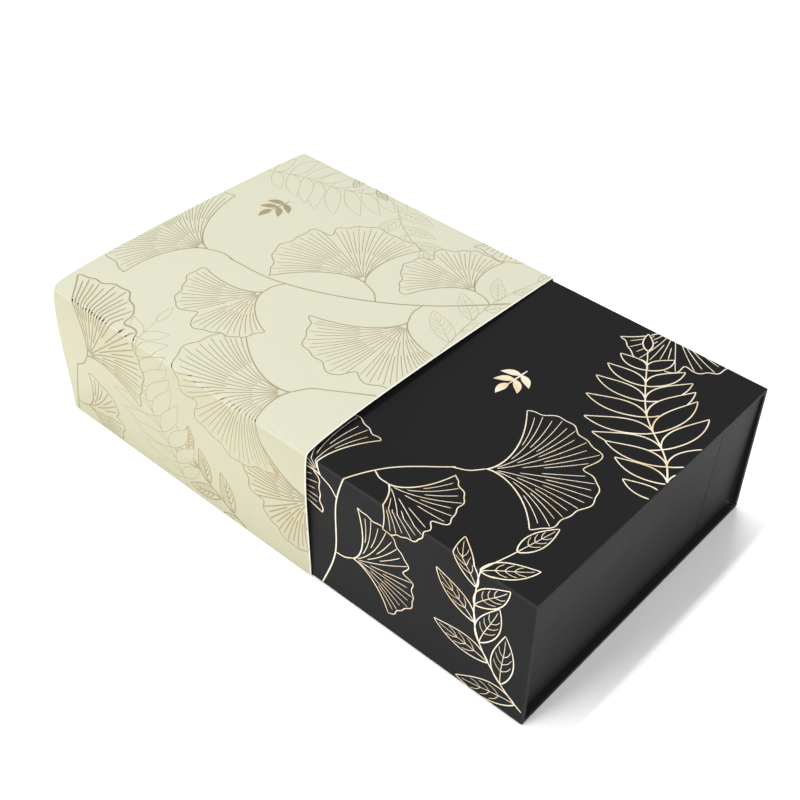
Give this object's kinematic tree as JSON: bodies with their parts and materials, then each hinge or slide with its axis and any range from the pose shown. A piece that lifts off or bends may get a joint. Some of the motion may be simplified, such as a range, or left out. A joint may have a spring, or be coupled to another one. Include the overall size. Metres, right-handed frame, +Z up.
{
  "type": "gift box",
  "caption": "Square book-style rigid gift box with a hinged lid and magnetic flap, standing part way out of a full-length card slip sleeve.",
  "frame": {"origin": "on the surface the object stands on, under the middle of its bounding box", "axes": "+X is the way the box comes out of its sleeve, +Y is from the spine side to the magnetic flap, +Z is up"},
  "size_m": [0.4014, 0.2422, 0.1115],
  "materials": {
    "greyboard": "grey-brown solid board, uncoated",
    "black_cover_paper": "soft-touch laminated black art paper with hot-stamped foil lines",
    "black_liner_paper": "plain black lining paper, uncoated",
    "stay_tape": "kraft paper corner tape",
    "plated_magnet": "nickel-plated magnet disc",
    "keeper_steel": "bright steel disc",
    "ivory_card": "matte ivory folding card with foil and tonal line print"
  },
  "bodies": {
    "box": {"base_board": "greyboard", "spine_board": "greyboard", "lid_board": "greyboard", "flap_board": "greyboard", "cover_wrap": "black_cover_paper", "cover_liner": "black_liner_paper", "tray_base_board": "greyboard", "tray_back_board": "greyboard", "tray_front_board": "greyboard", "tray_left_board": "greyboard", "tray_right_board": "greyboard", "tray_wrap": "black_cover_paper", "tray_liner": "black_liner_paper", "corner_stay_back_left": "stay_tape", "corner_stay_back_right": "stay_tape", "corner_stay_front_left": "stay_tape", "corner_stay_front_right": "stay_tape", "flap_magnet_left": "plated_magnet", "flap_magnet_right": "plated_magnet", "tray_disc_left": "keeper_steel", "tray_disc_right": "keeper_steel"},
    "sleeve": {"sleeve": "ivory_card"}
  },
  "joints": [
    {"name": "sleeve_slide", "type": "slide", "parent": "box", "child": "sleeve", "axis": [1, 0, 0], "range_m": [-0.08, 0.166]}
  ]
}
